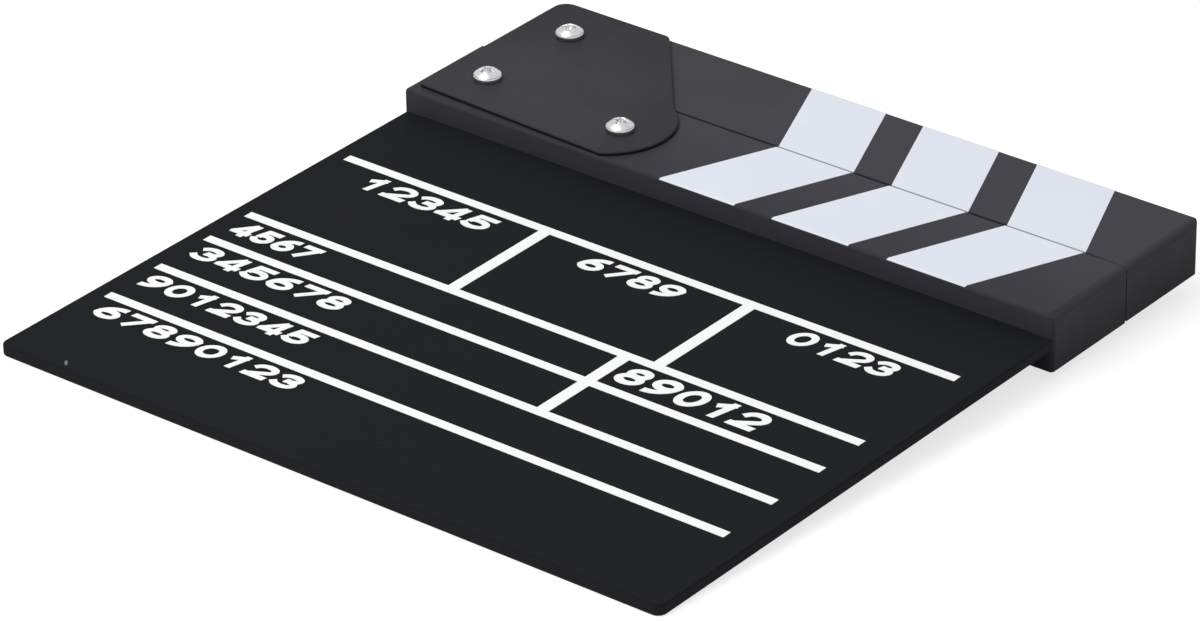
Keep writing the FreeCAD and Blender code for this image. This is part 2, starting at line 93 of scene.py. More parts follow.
print("grid helper: 3 x 4 points make", len(grid_faces(3, 4)), "faces")


# %% [markdown]
# Nodes could be set up line by line for every finish, but most of those lines would repeat. Four
# helpers take that up: one starts a node group, one adds a node with its settings and links, and
# two give the result of the nodes that are needed most, a calculation and a smooth step.


# %% Node helpers
def new_group(name, output, **inputs):
    """An empty shader group: a Vector and float inputs with their default values, one output."""
    group = bpy.data.node_groups.new(name, "ShaderNodeTree")
    group.interface.new_socket("Vector", in_out="INPUT", socket_type="NodeSocketVector")
    for label, value in inputs.items():
        socket = group.interface.new_socket(label, in_out="INPUT", socket_type="NodeSocketFloat")
        socket.default_value = value
    group.interface.new_socket(output, in_out="OUTPUT", socket_type="NodeSocketFloat")
    return group, group.nodes.new("NodeGroupInput"), group.nodes.new("NodeGroupOutput")


def add(tree, kind, links=None, **settings):
    """A node with its settings; links maps its input sockets to an output socket or a value."""
    node = tree.nodes.new(kind)
    for label, value in settings.items():
        setattr(node, label, value)
    for label, source in (links or {}).items():
        if isinstance(source, bpy.types.NodeSocket):
            tree.links.new(source, node.inputs[label])
        else:
            node.inputs[label].default_value = source
    return node


def maths(tree, operation, *terms):
    """The result of one calculation on sockets or plain values, by Blender's name for it."""
    node = add(tree, "ShaderNodeMath", dict(enumerate(terms)), operation=operation)
    return node.outputs["Value"]


def ramp(tree, source, low, high):
    """A smooth mask that goes from 0 at low to 1 at high; low may be the larger of the two."""
    node = add(tree, "ShaderNodeMapRange", {"Value": source, "From Min": low, "From Max": high},
               interpolation_type="SMOOTHSTEP")
    return node.outputs["Result"]


# %% [markdown]
# Paint is never one even colour. Brush and roller leave a fine relief, hands leave faint dull
# patches, and dust settles in specks. These three effects come back on most finishes, so each is
# a node group that is built once. A group reads the piece's own Object coordinates in millimetres,
# and gives a mask from 0 to 1 that a finish then uses in its colour, gloss or bump.

# %% Shared groups
grain_group, given, made = new_group("paint_grain", "Grain", Along=1.0, Across=1.0, Detail=3.0)
stretch = add(grain_group, "ShaderNodeCombineXYZ", {
    "X": given.outputs["Along"], "Y": given.outputs["Across"], "Z": given.outputs["Across"]})
placed = add(grain_group, "ShaderNodeVectorMath", {
    0: given.outputs["Vector"], 1: stretch.outputs["Vector"]}, operation="MULTIPLY")
noise = add(grain_group, "ShaderNodeTexNoise", {
    "Vector": placed.outputs["Vector"], "Scale": 1.0, "Detail": given.outputs["Detail"],
    "Roughness": 0.55})
grain = ramp(grain_group, noise.outputs["Fac"], low=0.25, high=0.75)
grain_group.links.new(grain, made.inputs["Grain"])

haze_group, given, made = new_group("hand_haze", "Haze", Size=40.0)
far_apart = add(haze_group, "ShaderNodeVectorMath", {
    0: given.outputs["Vector"], 1: given.outputs["Size"]}, operation="DIVIDE")
cloud = add(haze_group, "ShaderNodeTexNoise", {
    "Vector": far_apart.outputs["Vector"], "Scale": 1.0, "Detail": 4.0, "Distortion": 0.6})
patches = ramp(haze_group, cloud.outputs["Fac"], low=0.35, high=0.75)
haze_group.links.new(patches, made.inputs["Haze"])

SPECK_EDGE = 1.6  # a speck fades out at this many times its size
dust_group, given, made = new_group("dust_specks", "Speck", Spacing=6.0, Size=0.06)
apart = add(dust_group, "ShaderNodeVectorMath", {
    0: given.outputs["Vector"], 1: given.outputs["Spacing"]}, operation="DIVIDE")
cells = add(dust_group, "ShaderNodeTexVoronoi", {"Vector": apart.outputs["Vector"], "Scale": 1.0})
edge = maths(dust_group, "MULTIPLY", given.outputs["Size"], SPECK_EDGE)
dots = ramp(dust_group, cells.outputs["Distance"], low=edge, high=given.outputs["Size"])
dust_group.links.new(dots, made.inputs["Speck"])
print("shared groups:", [g.name for g in bpy.data.node_groups])


# %% [markdown]
# A finish starts from one Principled shader. The constants go straight onto its sockets, and only
# what changes over the surface is linked. One helper starts a finish, one places a shared group in
# it with its own values, and one links the colour and the roughness that come out in the end.


# %% Start and end of a finish
def finish_start(name, **constants):
    """A node material: its tree, its shader and the Object coordinates in millimetres."""
    material = bpy.data.materials.new(name)
    material.use_nodes = True
    tree = material.node_tree
    shader = tree.nodes["Principled BSDF"]
    for label, value in constants.items():
        shader.inputs[label.replace("_", " ")].default_value = value
    where = add(tree, "ShaderNodeTexCoord")
    scaled = add(tree, "ShaderNodeVectorMath", {0: where.outputs["Object"]}, operation="SCALE")
    scaled.inputs["Scale"].default_value = 1 / MM
    return material, tree, shader, scaled.outputs["Vector"]


def use(tree, group, vector, **values):
    """Places a shared group in a finish with that finish's own values; gives its one output."""
    node = add(tree, "ShaderNodeGroup", node_tree=group)
    tree.links.new(vector, node.inputs["Vector"])
    for label, value in values.items():
        node.inputs[label].default_value = value
    return node.outputs[0]


def finish_end(tree, shader, colour, roughness):
    """Links what was worked out for a finish to its shader."""
    tree.links.new(colour, shader.inputs["Base Color"])
    tree.links.new(roughness, shader.inputs["Roughness"])


# %% [markdown]
# Tones belong to places: an edge, a seam, the sides of a plate. Some are the thing's own colour,
# and some are painted shade and painted sheen. They could be painted on by hand, but a mask that
# is worked out from the coordinates is sharp at any size and needs no image. The helpers below
# make such masks, blend tones and values by them, and add relief, whose depth is given in
# millimetres.


# %% Masks, blends and relief
def band(tree, spot, axis, middle, none, full):
    """A mask by the distance from a plane across an axis: 0 at the distance none, 1 at full."""
    along = add(tree, "ShaderNodeSeparateXYZ", {"Vector": spot}).outputs[axis]
    away = maths(tree, "ABSOLUTE", maths(tree, "SUBTRACT", along, float(middle)))
    return ramp(tree, away, none, full)


def between(tree, spot, back, front, none, full):
    """A mask for the sides of a flat piece: 0 at the depth none under its two faces, 1 at full."""
    half = float(front - back) / 2
    return band(tree, spot, "Z", (front + back) / 2, half - none, half - full)


def overlap(tree, *masks):
    """One mask that is 1 only where all the given masks are: their product."""
    product = masks[0]
    for mask in masks[1:]:
        product = maths(tree, "MULTIPLY", product, mask)
    return product


def blend_colours(tree, mask, base, over):
    """The tone base where a mask is 0, over where it is 1, and a mixture in between."""
    node = add(tree, "ShaderNodeMix", {"Factor": mask}, data_type="RGBA")
    for socket, tone in zip([s for s in node.inputs if s.type == "RGBA"], (base, over)):
        if isinstance(tone, bpy.types.NodeSocket):
            tree.links.new(tone, socket)
        else:
            socket.default_value = (*tone, 1)
    return next(s for s in node.outputs if s.type == "RGBA")


def blend_values(tree, mask, base, over):
    """The value base where a mask is 0, over where it is 1, and a mixture in between."""
    node = add(tree, "ShaderNodeMapRange", {"Value": mask, "To Min": base, "To Max": over})
    return node.outputs["Result"]


def bump(tree, shader, height, depth, under=None):
    """Relief of a depth in millimetres, laid over another relief if one is given."""
    node = add(tree, "ShaderNodeBump", {"Height": height, "Distance": depth * MM, "Strength": 1.0})
    if under is not None:
        tree.links.new(under, node.inputs["Normal"])
    tree.links.new(node.outputs["Normal"], shader.inputs["Normal"])
    return node.outputs["Normal"]


# %% [markdown]
# The slate board is thin hardboard under dull black board paint. It takes chalk or marker, so it
# has a very fine tooth and almost no gloss. Old chalk that was wiped off leaves a faint haze. The
# sawn edge drinks the paint and dries greyer, so a mask by height finds it between the two faces,
# and near the low corner one small chip lets the grey board show.

# %% Slate paint
# The chip: its place from the board's low corner, its turn in radians and its half sizes.
CHIP_IN, CHIP_TURN, CHIP_HALF = (19.4, 2.7), -0.85, (1.5, 0.5, 1)
board_back, board_front = board_low[2] / MM, board_high[2] / MM
slate_paint, tree, shader, spot = finish_start("slate_paint", Specular_IOR_Level=0.014)
tooth = use(tree, grain_group, spot, Along=2.2, Across=2.2, Detail=4.0)
haze = use(tree, haze_group, spot, Size=55.0)
specks = use(tree, dust_group, spot, Spacing=17.0, Size=0.012)
wiped = blend_colours(tree, haze, (0.0115, 0.0121, 0.0150), (0.0135, 0.0141, 0.0173))
toothed = blend_colours(tree, tooth, wiped, (0.0140, 0.0146, 0.0181))
dusty = blend_colours(tree, specks, toothed, (0.035, 0.035, 0.036))
sawn = between(tree, spot, board_back, board_front, none=0.15, full=0.5)
edged = blend_colours(tree, sawn, dusty, (0.0240, 0.0240, 0.0270))
chip_place = (*(board_low[:2] / MM + CHIP_IN), board_front)
chip_frame = add(tree, "ShaderNodeMapping", {
    "Vector": spot, "Location": chip_place, "Rotation": (0, 0, CHIP_TURN), "Scale": CHIP_HALF},
    vector_type="TEXTURE")
from_chip = add(tree, "ShaderNodeVectorMath", {0: chip_frame.outputs["Vector"]}, operation="LENGTH")
chip = ramp(tree, from_chip.outputs["Value"], low=1.0, high=0.5)
chipped = blend_colours(tree, chip, edged, (0.19, 0.19, 0.19))
finish_end(tree, shader, chipped, blend_values(tree, haze, 0.56, 0.66))
bump(tree, shader, tooth, depth=0.012)
print("slate paint: chip at", np.round(chip_place, 1), "mm")

# %% [markdown]
# The sticks are wood under two coats of satin black. The grain runs along them and telegraphs
# through the paint as long shallow furrows, so the noise is stretched far along X. The satin
# catches more light than the board does, which is why the sticks look greyer. The top of the fixed
# stick is darker toward its near edge. Along the seam, where the sticks meet, painted shade darkens
# the front of both edges, though not at the free end, and down the sides painted shade makes the
# paint darker toward the back. A product of masks keeps each of these to its place.

# %% Stick paint
seam = (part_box("fixed_stick")[1][1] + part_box("clap_stick")[0][1]) / 2 / MM
stick_back, stick_top = (corner[2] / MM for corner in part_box("fixed_stick"))
near_edge, free_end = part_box("fixed_stick")[0][1] / MM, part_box("fixed_stick")[1][0] / MM
stick_paint, tree, shader, spot = finish_start("stick_paint", Specular_IOR_Level=0.03)
furrows = use(tree, grain_group, spot, Along=0.035, Across=1.5, Detail=5.0)
pores = use(tree, grain_group, spot, Along=0.25, Across=5.0, Detail=2.0)
haze = use(tree, haze_group, spot, Size=38.0)
specks = use(tree, dust_group, spot, Spacing=14.0, Size=0.011)
coat = blend_colours(tree, furrows, (0.0455, 0.0437, 0.0518), (0.0525, 0.0505, 0.0596))
worn = blend_colours(tree, pores, coat, (0.0540, 0.0520, 0.0612))
# The top of the fixed stick grows darker toward its near edge.
toward_near_edge = overlap(tree, band(tree, spot, "Y", near_edge, none=seam - near_edge, full=0.0),
               band(tree, spot, "Z", stick_top, none=0.9, full=0.2))
darker_near_edge = blend_colours(tree, toward_near_edge, worn, (0.0395, 0.0380, 0.0450))
# Painted shade along the seam between the sticks, left off near the free end.
seam_shade = overlap(tree, band(tree, spot, "Y", seam, none=0.9, full=0.3),
                 band(tree, spot, "Z", stick_top, none=2.5, full=0.8),
                 band(tree, spot, "X", free_end, none=4.0, full=16.0))
stick_seam_shaded = blend_colours(tree, seam_shade, darker_near_edge, (0.014, 0.0135, 0.016))
# Painted shade: down the sides the paint grows darker toward the back.
backward = band(tree, spot, "Z", stick_top, none=0.0, full=stick_top - stick_back)
shaded_toward_back = blend_colours(tree, backward, stick_seam_shaded, (0.0290, 0.0280, 0.0330))
dusty = blend_colours(tree, specks, shaded_toward_back, (0.075, 0.075, 0.078))
finish_end(tree, shader, dusty, blend_values(tree, haze, 0.40, 0.50))
relief = bump(tree, shader, furrows, depth=0.020)
bump(tree, shader, pores, depth=0.006, under=relief)
print("stick paint: furrows along X, seam at Y", round(seam, 2), "mm")

# %% [markdown]
# The hinge plates are sheet steel under black powder coat. Powder melts into a skin like fine
# orange peel: even little hills about half a millimetre apart, the same in every direction. A
# painted sheen keeps the coat paler round a place between the heel and toe screws, so a mask by
# the distance from that place darkens the rest. Painted shade darkens the sides of a plate. Both
# plates are equally far from the middle of the sticks, so one mask by that distance finds the
# sides of both.

# %% Powder coat
plates_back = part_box("back_hinge_plate")[0][2] / MM
plates_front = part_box("front_hinge_plate")[1][2] / MM
hinge_paint, tree, shader, spot = finish_start("hinge_paint", Specular_IOR_Level=0.03)
peel = use(tree, grain_group, spot, Along=2.6, Across=2.6, Detail=1.0)
haze = use(tree, haze_group, spot, Size=26.0)
specks = use(tree, dust_group, spot, Spacing=11.0, Size=0.014)
skin = blend_colours(tree, peel, (0.0388, 0.0386, 0.0432), (0.0462, 0.0460, 0.0512))
heel_place, toe_place = (np.mean(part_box(f"{name}_screw"), axis=0) / MM for name in ("heel", "toe"))
# A third of the way from the heel screw to the toe screw.
sheen_place = tuple(float(x) for x in heel_place + (toe_place - heel_place) / 3)
# Painted sheen: the coat is paler round this place and darker away from it.
from_sheen = add(tree, "ShaderNodeVectorMath", {0: spot, 1: sheen_place}, operation="DISTANCE")
beyond_sheen = ramp(tree, from_sheen.outputs["Value"], low=15.0, high=50.0)
painted_sheen = blend_colours(tree, beyond_sheen, skin, (0.0330, 0.0326, 0.0385))
dusty = blend_colours(tree, specks, painted_sheen, (0.07, 0.07, 0.07))
# Painted shade on the sides of both plates.
sides = between(tree, spot, plates_back, plates_front, none=0.10, full=0.45)
shaded_sides = blend_colours(tree, sides, dusty, (0.013, 0.013, 0.015))
finish_end(tree, shader, shaded_sides, blend_values(tree, haze, 0.44, 0.54))
bump(tree, shader, peel, depth=0.016)
print("powder coat: thumb place at", np.round(sheen_place[:2], 1), "mm")

# %% [markdown]
# The stripes are white satin film, a touch bluish, and the form is matt white ink. Ink from a
# screen is a little thin here and there, so its tone drops slightly where the board's tooth
# stands up. Film is smoother and its gloss is more even, and painted shade darkens it along the
# seam.

# %% White film and white ink
white_film, tree, shader, spot = finish_start("white_film", Specular_IOR_Level=0.3)
haze = use(tree, haze_group, spot, Size=24.0)
ripple = use(tree, grain_group, spot, Along=0.3, Across=0.9, Detail=2.0)
specks = use(tree, dust_group, spot, Spacing=13.0, Size=0.010)
clean = blend_colours(tree, haze, (0.735, 0.765, 0.850), (0.760, 0.790, 0.870))
# Painted shade darkens the film along the seam.
seam_shade = band(tree, spot, "Y", seam, none=0.55, full=0.25)
film_with_seam_shade = blend_colours(tree, seam_shade, clean, (0.15, 0.15, 0.16))
dusty = blend_colours(tree, specks, film_with_seam_shade, (0.45, 0.45, 0.47))
finish_end(tree, shader, dusty, blend_values(tree, haze, 0.36, 0.46))
bump(tree, shader, ripple, depth=0.008)

white_ink, tree, shader, spot = finish_start("white_ink", Specular_IOR_Level=0.2)
tooth = use(tree, grain_group, spot, Along=2.2, Across=2.2, Detail=4.0)
haze = use(tree, haze_group, spot, Size=12.0)
full_ink = blend_colours(tree, haze, (0.950, 0.955, 0.970), (0.910, 0.915, 0.935))
thin_ink = blend_colours(tree, tooth, full_ink, (0.930, 0.935, 0.955))
finish_end(tree, shader, thin_ink, blend_values(tree, tooth, 0.55, 0.68))
bump(tree, shader, tooth, depth=0.010)
print("whites: film", white_film.name, "and ink", white_ink.name)

# %% [markdown]
# The screws and barrel nuts are bright nickel on steel, and the panel pins are plain drawn wire.
# Metal shows what is round it, so its own pattern is faint: light handling haze and fine rubbing
# on the nickel, and drawing marks on the wire.

# %% Bright nickel and pin wire
bright_steel, tree, shader, spot = finish_start("bright_steel", Metallic=1.0)
haze = use(tree, haze_group, spot, Size=3.0)
rub = use(tree, grain_group, spot, Along=4.0, Across=4.0, Detail=3.0)
nickel = blend_colours(tree, haze, (0.63, 0.63, 0.645), (0.55, 0.55, 0.565))
finish_end(tree, shader, nickel, blend_values(tree, rub, 0.22, 0.34))
bump(tree, shader, rub, depth=0.002)

pin_steel, tree, shader, spot = finish_start("pin_steel", Metallic=1.0)
drawn = use(tree, grain_group, spot, Along=8.0, Across=1.0, Detail=2.0)
wire = blend_colours(tree, drawn, (0.42, 0.42, 0.41), (0.50, 0.50, 0.49))
finish_end(tree, shader, wire, blend_values(tree, drawn, 0.32, 0.45))
print("metals:", bright_steel.name, pin_steel.name)

# %% [markdown]
# The board, sticks, plates, barrels, pins, stripes and rules are right as the CAD made them, so
# they only change their clothes. The record says which finish each node takes, and a table turns
# that name into the finish. Going by the record keeps the two from drifting apart.

# %% Dress the CAD nodes
FINISHES = {
    "slate_paint": slate_paint, "stick_paint": stick_paint, "hinge_paint": hinge_paint,
    "bright_steel": bright_steel, "pin_steel": pin_steel,
    "white_film": white_film, "white_ink": white_ink,
}
for part in frame["record"]["subparts"]:
    mesh = nodes[part["node"]].data
    mesh.materials.clear()
    mesh.materials.append(FINISHES[part["material_slot"]])

# %% [markdown]
# Each field of the form carries a bold slanted number in white ink. A type face would do, but a
# stroke font is easy to reason about: a digit is a few centre lines in a unit box, and a flat pen
# is carried along each of them. The box is stretched to the field first and the pen keeps its
# width, so wide and narrow digits have equal strokes.


# %% Centre lines of the digits
def arc(cx, cy, rx, ry, first, last, count=28):
    """Ellipse (cx + rx cos a, cy + ry sin a) from one angle to another, in degrees."""
    a = np.radians(np.linspace(first, last, count))
    return np.column_stack([cx + rx * np.cos(a), cy + ry * np.sin(a)])


def line(*points):
    """Straight runs through points."""
    return np.array(points, float)


def loop(cx, cy, rx, ry, count=44):
    """A closed ellipse; its first point isn't repeated."""
    return arc(cx, cy, rx, ry, 0, 360, count + 1)[:-1]


# Each stroke is its centre line and whether it closes. A nine is a six turned round.
six = [(loop(0.5, 0.29, 0.5, 0.29), True), (arc(0.96, 0.29, 0.96, 0.71, 180, 96), False)]
DIGITS = {
    "0": [(loop(0.5, 0.5, 0.5, 0.5), True)],
    "1": [(line((0.62, 0.0), (0.62, 1.0)), False), (line((0.62, 0.96), (0.20, 0.74)), False)],
    "2": [(np.vstack([arc(0.5, 0.70, 0.5, 0.30, 165, -38), line((0.10, 0.03))]), False),
          (line((0.0, 0.0), (1.0, 0.0)), False)],
    "3": [(arc(0.46, 0.76, 0.46, 0.24, 155, -85), False),
          (arc(0.48, 0.27, 0.52, 0.27, 90, -152), False)],
    "4": [(line((0.79, 0.0), (0.79, 1.0)), False), (line((0.62, 1.0), (0.0, 0.23)), False),
          (line((0.0, 0.19), (1.0, 0.19)), False)],
    "5": [(line((0.16, 1.0), (0.94, 1.0)), False), (line((0.10, 0.96), (0.06, 0.52)), False),
          (arc(0.46, 0.31, 0.54, 0.31, 132, -150), False)],
    "6": six,
    "7": [(line((0.0, 1.0), (1.0, 1.0)), False), (line((0.96, 0.96), (0.34, 0.06)), False)],
    "8": [(loop(0.5, 0.765, 0.42, 0.235), True), (loop(0.5, 0.27, 0.5, 0.27), True)],
    "9": [(1 - path, closed) for path, closed in six],
}
print("digits:", sum(len(strokes) for strokes in DIGITS.values()), "strokes")


# %% [markdown]
# The pen is a small upright rectangle. At every point of a centre line it turns with the line:
# the side steps are the mean of the two neighbouring normals, made longer at a corner so that
# the stroke keeps its width. Open strokes run on by half a pen at each end, so that they end
# square on the guide lines, and closed loops join up.


# %% Pen strokes
def stroke(path, closed, wide, low, high):
    """Closed shell of a flat pen of width wide along a path in X and Y, between two heights.

    Side step at a point: (n1 + n2) / (1 + n1 . n2), half a pen long, for unit normals n1 and n2.
    """
    if not closed:
        ends = path[[0, -1]] - path[[1, -2]]
        ends *= wide / 2 / np.linalg.norm(ends, axis=1, keepdims=True)
        path = np.vstack([path[0] + ends[0], path[1:-1], path[-1] + ends[1]])
    steps = np.roll(path, -1, axis=0) - path
    steps /= np.linalg.norm(steps, axis=1, keepdims=True)
    normals = np.column_stack([-steps[:, 1], steps[:, 0]])
    before = np.roll(normals, 1, axis=0)
    if not closed:
        normals[-1] = normals[-2]
        before[0] = normals[0]
    side = (normals + before) / (1 + (normals * before).sum(axis=1, keepdims=True)) * wide / 2
    rims = [np.column_stack([path + way * side, np.full(len(path), height)])
            for way, height in ((1, low), (1, high), (-1, high), (-1, low))]
    points = np.stack(rims, axis=1)
    faces = grid_faces(len(path), 4, ring_rows=closed, ring_columns=True)
    if not closed:
        last = (len(path) - 1) * 4
        faces = np.vstack([faces, [[3, 2, 1, 0]], [[last, last + 1, last + 2, last + 3]]])
    return points.reshape(-1, 3), faces


print("pen: a zero is", len(stroke(*DIGITS["0"][0], 0.2, 0.0, 0.1)[1]), "faces")

# %% [markdown]
# A number fills its field from limit to limit. Its digits stand an even pitch apart, and the slant
# moves each point sideways by its height. The ink starts just under the board's face, so that no
# gap shows. Where strokes of one digit cross, equal tops would flicker, so each stroke stands a
# little higher than the one before it.

# %% Numbers in the fields
SLANT, DIGIT_SHARE = 0.24, 0.86
INK_UNDER, INK_OVER, STROKE_STEP = 0.02, 0.08, 0.004
# Digits, pen width, and left, right, low and high limits from the board's low corner.
FIELDS = [
    ("12345", 1.7, 15.1, 57.8, 112.7, 120.0), ("6789", 1.7, 85.2, 116.5, 112.9, 120.1),
    ("0123", 1.7, 148.2, 180.4, 113.1, 120.5), ("4567", 1.7, 6.2, 32.9, 75.2, 82.2),
    ("89012", 2.0, 126.9, 170.8, 74.0, 82.6), ("345678", 1.7, 6.3, 55.6, 60.0, 67.1),
    ("9012345", 1.7, 5.9, 59.7, 41.9, 48.8), ("67890123", 1.7, 7.0, 71.8, 24.0, 30.9),
]


def field_number(digits, pen, left, right, low, high):
    """Points and faces of one number between its field's four limits, in millimetres.

    A digit fills DIGIT_SHARE of its pitch, and x grows by SLANT times the height.
    """
    tall = high - low
    pitch = (right - left - SLANT * tall) / (len(digits) - (1 - DIGIT_SHARE))
    box = np.array([DIGIT_SHARE * pitch - pen, tall - pen])
    shells, start = [], 0
    for place, digit in enumerate(digits):
        for layer, (path, closed) in enumerate(DIGITS[digit]):
            top = INK_OVER + STROKE_STEP * layer
            points, faces = stroke(path * box + pen / 2, closed, pen, -INK_UNDER, top)
            points[:, 0] += left + place * pitch + SLANT * points[:, 1]
            points[:, 1] += low
            shells.append((points, faces + start))
            start += len(points)
    return np.vstack([p for p, _ in shells]), np.vstack([f for _, f in shells])


for index, field in enumerate(FIELDS, start=1):
    points, faces = field_number(*field)
    points = points * MM + (board_low[0], board_low[1], board_high[2])
    piece_from(f"field_{index}_number", points, faces,
               "slate", white_ink, smooth=False)
print("numbers:", len(FIELDS), "fields,", sum(len(f[0]) for f in FIELDS), "digits")

# %% [markdown]
# A pan head is low and round with a crossed recess for the driver. It could be turned as a lathe
# shape and cut, but a cut on a dome leaves ragged triangles. Here the crown is one grid instead:
# a square of parameters is bent into a disc, so that the lines near the middle run straight along
# the arms of the cross, and the height is the dome less the recess. The rim, the side and the
# underside follow as rings.

# %% Screw head
# The head's radius and its crown's, the heights of dome and shoulder, and the bevel at the foot.
HEAD, CROWN, RISE, SHOULDER, FOOT = 3.75, 3.5, 3.10, 1.50, 0.12
# The recess: half an arm's width, half the cross, its depth and the lean of its walls.
ARM, SPAN, DEEP, TAPER = 0.55, 2.1, 1.3, 0.40


def crown_height(x, y):
    """Dome from SHOULDER up to RISE, less a cross whose walls lean in over TAPER."""
    dome = RISE - (RISE - SHOULDER) * (np.hypot(x, y) / CROWN) ** 2
    lengthwise = np.minimum((SPAN - np.abs(x)) / (2 * TAPER), (ARM - np.abs(y)) / TAPER + 0.5)
    crosswise = np.minimum((SPAN - np.abs(y)) / (2 * TAPER), (ARM - np.abs(x)) / TAPER + 0.5)
    cross = np.clip(np.maximum(lengthwise, crosswise), 0, 1)
    return dome - DEEP * cross * cross * (3 - 2 * cross)


def rim_profile(count=7):
    """Radii and heights below the crown: an arc from the dome's slope to upright, then the side."""
    lean = np.arctan(2 * (RISE - SHOULDER) / CROWN)
    round_over = (HEAD - CROWN) / (1 - np.sin(lean))
    angle = np.linspace(lean, np.pi / 2, count)[1:]
    radius = CROWN + round_over * (np.sin(angle) - np.sin(lean))
    height = SHOULDER + round_over * (np.cos(angle) - np.cos(lean))
    return np.append(radius, [HEAD, HEAD - FOOT, HEAD / 2]), np.append(height, [FOOT, 0.0, 0.0])


def head_points(turn, count=81):
    """Points and faces of a head that is turned about its middle: crown, rings and a flat cap.

    The crown's disc is (u sqrt(1 - v^2 / 2), v sqrt(1 - u^2 / 2)) for u and v from -1 to 1.
    """
    t = np.linspace(-1, 1, count)
    u, v = np.meshgrid(t, t, indexing="ij")
    x = CROWN * u * np.sqrt(1 - v ** 2 / 2)
    y = CROWN * v * np.sqrt(1 - u ** 2 / 2)
    crown = np.stack([x, y, crown_height(x, y)], axis=-1).reshape(-1, 3)
    grid = np.arange(count * count).reshape(count, count)
    border = np.concatenate([grid[:-1, 0], grid[-1, :-1], grid[:0:-1, -1], grid[0, :0:-1]])
    radius, height = (values[:, None, None] for values in rim_profile())
    circle = crown[border, :2] / CROWN
    level = np.broadcast_to(height, (len(height), len(border), 1))
    rings = np.concatenate([radius * circle, level], axis=-1).reshape(-1, 3)
    lower = len(crown) + np.arange(len(rings)).reshape(-1, len(border))
    bands = np.vstack([border, lower])
    beside = np.roll(bands, -1, axis=1)
    walls = np.stack([bands[:-1], bands[1:], beside[1:], beside[:-1]], axis=-1).reshape(-1, 4)
    points = np.vstack([crown, rings])
    c, s = np.cos(turn), np.sin(turn)
    points[:, :2] = points[:, :2] @ np.array([[c, s], [-s, c]])
    return points, [*grid_faces(count, count), *walls, lower[-1][::-1]]


print("screw head: recess down to", round(float(crown_height(0, 0)), 2), "mm above the plate")

# %% [markdown]
# Below the head is a machine thread. A helix could be swept along the shank, but a wave on a tube
# is simpler: the radius rises and falls with the angle and the height together, so the crests wind
# round by themselves. The last bit runs out to a blunt end, and the top starts inside the head.

# %% Screw thread
# The shank's length and radius, the height of a crest, and how far down one turn goes.
LENGTH, OUTER, CREST, LEAD = 9.0, 1.5, 0.22, 0.7
# How far the top goes into the head, the share of the radius that is left at the blunt end, and
# the length over which the rest runs out.
SUNK, BLUNT, RUN_OUT = 0.2, 0.4, 0.6


def shank_points(start, around=30, along=150):
    """Tube of radius OUTER - CREST (1 + cos(a - 2 pi z / LEAD)) / 2, drawn in over RUN_OUT."""
    a = np.linspace(0, 2 * np.pi, around, endpoint=False)[None, :]
    z = np.linspace(SUNK, -LENGTH, along)[:, None]
    wave = CREST * (1 + np.cos(a - 2 * np.pi * z / LEAD)) / 2
    r = (OUTER - wave) * np.clip(BLUNT + (z + LENGTH) / RUN_OUT, BLUNT, 1)
    points = np.stack([r * np.cos(a), r * np.sin(a), z + 0 * a], axis=-1)
    ring = start + np.arange(around)
    wall = grid_faces(along, around, ring_columns=True, start=start)[:, ::-1]
    return points.reshape(-1, 3), [*wall, ring, (ring + (along - 1) * around)[::-1]]


print("screw thread:", round(LENGTH / LEAD, 1), "turns")

# %% [markdown]
# Each fine screw stands exactly where a CAD screw does, with its head on the front plate, and
# takes its place in the picture. No two screws stop at the same angle when they are driven home,
# so each cross has a turn of its own.

# %% Place the screws
SCREW_TURNS = {"pivot": 0.5, "heel": 1.15, "toe": 0.15}
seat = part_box("front_hinge_plate")[1][2]
for name, turn in SCREW_TURNS.items():
    low, high = (np.array(corner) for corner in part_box(f"{name}_screw"))
    middle = (low + high) / 2
    head, head_faces = head_points(turn)
    shank, shank_faces = shank_points(len(head))
    points = np.vstack([head, shank]) * MM + (middle[0], middle[1], seat)
    screw = piece_from(f"{name}_screw_fine", points, head_faces + shank_faces,
                       "slate", bright_steel)
    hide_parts(f"{name}_screw")
    top, cad_top = round(points[:, 2].max() / MM, 2), round(high[2] / MM, 2)
    print(screw.name, "top at", top, "mm; CAD", cad_top)

# %% [markdown]
# The clapperboard rests on two barrel heads of the hinge and on the low edge of the board, so the
# surface that it lies on slopes a little in the frame. The floor is a plain pale sheet through
# these lines. It has to look white and still take a shadow, so it is matt grey with a glow that
# only shows to rays from the camera, from gloss and through glass.

# %% Floor
# How far in from their rims the barrel heads and the board touch the floor.
BARREL_CONTACT, EDGE_CONTACT = 0.6, 0.5
# The floor's half side in metres, its grey and its glow.
FLOOR_REACH, FLOOR_GREY, FLOOR_GLOW = 4, 0.38, 0.72
heads_line = Vector((0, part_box("toe_barrel")[0][1] + BARREL_CONTACT * MM, 0))
low_line = Vector((0, board_low[1] + EDGE_CONTACT * MM, board_low[2]))
slope = (low_line.z - heads_line.z) / (low_line.y - heads_line.y)
corners = [(FLOOR_REACH * i, FLOOR_REACH * j, slope * (FLOOR_REACH * j - heads_line.y))
           for i, j in ((-1, -1), (1, -1), (1, 1), (-1, 1))]
floor_mesh = bpy.data.meshes.new("floor")
floor_mesh.from_pydata(corners, [], [(0, 1, 2, 3)])
floor = bpy.data.objects.new("floor", floor_mesh)
bpy.context.scene.collection.objects.link(floor)


def seen_directly(tree):
    """1 for rays from the camera, from gloss or through glass, 0 for rays that only carry light."""
    path = add(tree, "ShaderNodeLightPath").outputs
    camera_or_gloss = maths(tree, "MAXIMUM", path["Is Camera Ray"], path["Is Glossy Ray"])
    return maths(tree, "MAXIMUM", camera_or_gloss, path["Is Transmission Ray"])


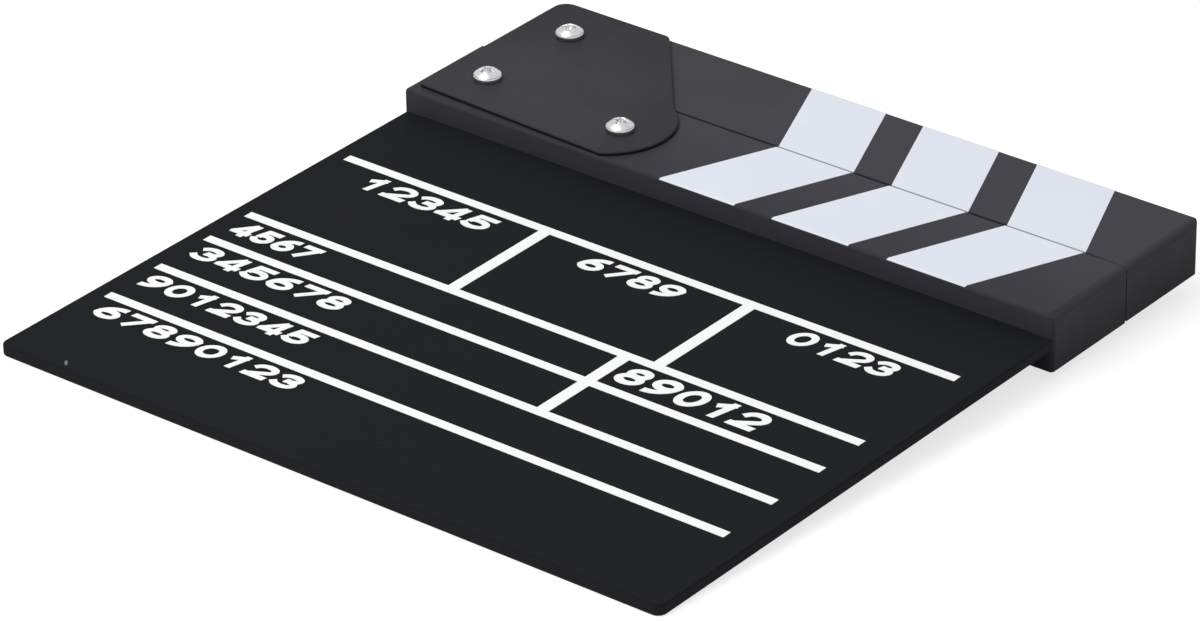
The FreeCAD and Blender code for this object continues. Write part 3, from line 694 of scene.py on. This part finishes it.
floor_finish = bpy.data.materials.new("pale_floor")
floor_finish.use_nodes = True
tree = floor_finish.node_tree
tree.nodes.remove(tree.nodes["Principled BSDF"])
matt = add(tree, "ShaderNodeBsdfDiffuse", {"Color": (FLOOR_GREY, FLOOR_GREY, FLOOR_GREY, 1)})
glow = add(tree, "ShaderNodeEmission", {
    "Color": (1, 1, 1, 1), "Strength": blend_values(tree, seen_directly(tree), 0.0, FLOOR_GLOW)})
both = add(tree, "ShaderNodeAddShader", {0: matt.outputs[0], 1: glow.outputs[0]})
tree.links.new(both.outputs[0], tree.nodes["Material Output"].inputs["Surface"])
floor_mesh.materials.append(floor_finish)
print("floor slope:", round(float(np.degrees(np.arctan(slope))), 2), "degrees")

# %% [markdown]
# Light comes from an even white room and one wide soft lamp overhead. Rays that show the room
# directly see it as plain white, and rays that only carry light see less of it, so the background
# can be white while the paints keep their written tone.

# %% Room light and lamp
ROOM_LIGHT, ROOM_WHITE = 0.55, 1.0
LAMP_PLACE, LAMP_SIDE, LAMP_WATTS = (-0.32, -0.58, 1.16), 1.0, 11.0
world = bpy.data.worlds.new("white_room")
bpy.context.scene.world = world
world.use_nodes = True
tree = world.node_tree
room = tree.nodes["Background"]
room.inputs["Color"].default_value = (1, 1, 1, 1)
shown = blend_values(tree, seen_directly(tree), ROOM_LIGHT, ROOM_WHITE)
tree.links.new(shown, room.inputs["Strength"])

lamp_data = bpy.data.lights.new("overhead", "AREA")
lamp_data.shape = "SQUARE"
lamp_data.size = LAMP_SIDE
lamp_data.energy = LAMP_WATTS
lamp = bpy.data.objects.new("overhead", lamp_data)
lamp.location = LAMP_PLACE
lamp.rotation_mode = "QUATERNION"
lamp.rotation_quaternion = (-lamp.location).to_track_quat("-Z", "Y")
bpy.context.scene.collection.objects.link(lamp)
print("light: room", ROOM_LIGHT, "and lamp", LAMP_WATTS, "W")

# %% [markdown]
# The camera stands where the photograph was taken from: far off with a long lens, a little under
# thirty degrees above the board, seen across its low right corner. Its place and two directions,
# to the right and ahead, fix it. The third, up, is square to both.

# %% Camera
LENS, SENSOR, NEAREST, FARTHEST = 190.65, 36.0, 0.1, 20.0
PHOTO_PLACE = (841.36, -1053.08, 749.49)
PHOTO_RIGHT, PHOTO_AHEAD = (0.785006, 0.619350, -0.013124), (-0.547381, 0.683557, -0.482828)
camera_data = bpy.data.cameras.new("photo_view")
camera_data.lens = LENS
camera_data.sensor_width = SENSOR
camera_data.clip_start, camera_data.clip_end = NEAREST, FARTHEST
camera = bpy.data.objects.new("photo_view", camera_data)
right, ahead = Vector(PHOTO_RIGHT).normalized(), Vector(PHOTO_AHEAD).normalized()
up = right.cross(ahead).normalized()
turned = Matrix((right, up, -ahead)).transposed().to_4x4()
turned.translation = Vector(PHOTO_PLACE) * MM
camera.matrix_world = turned
bpy.context.scene.collection.objects.link(camera)
bpy.context.scene.camera = camera
bpy.context.scene.view_settings.view_transform = "Standard"
print("camera:", round(camera.location.length, 3), "m from the origin")
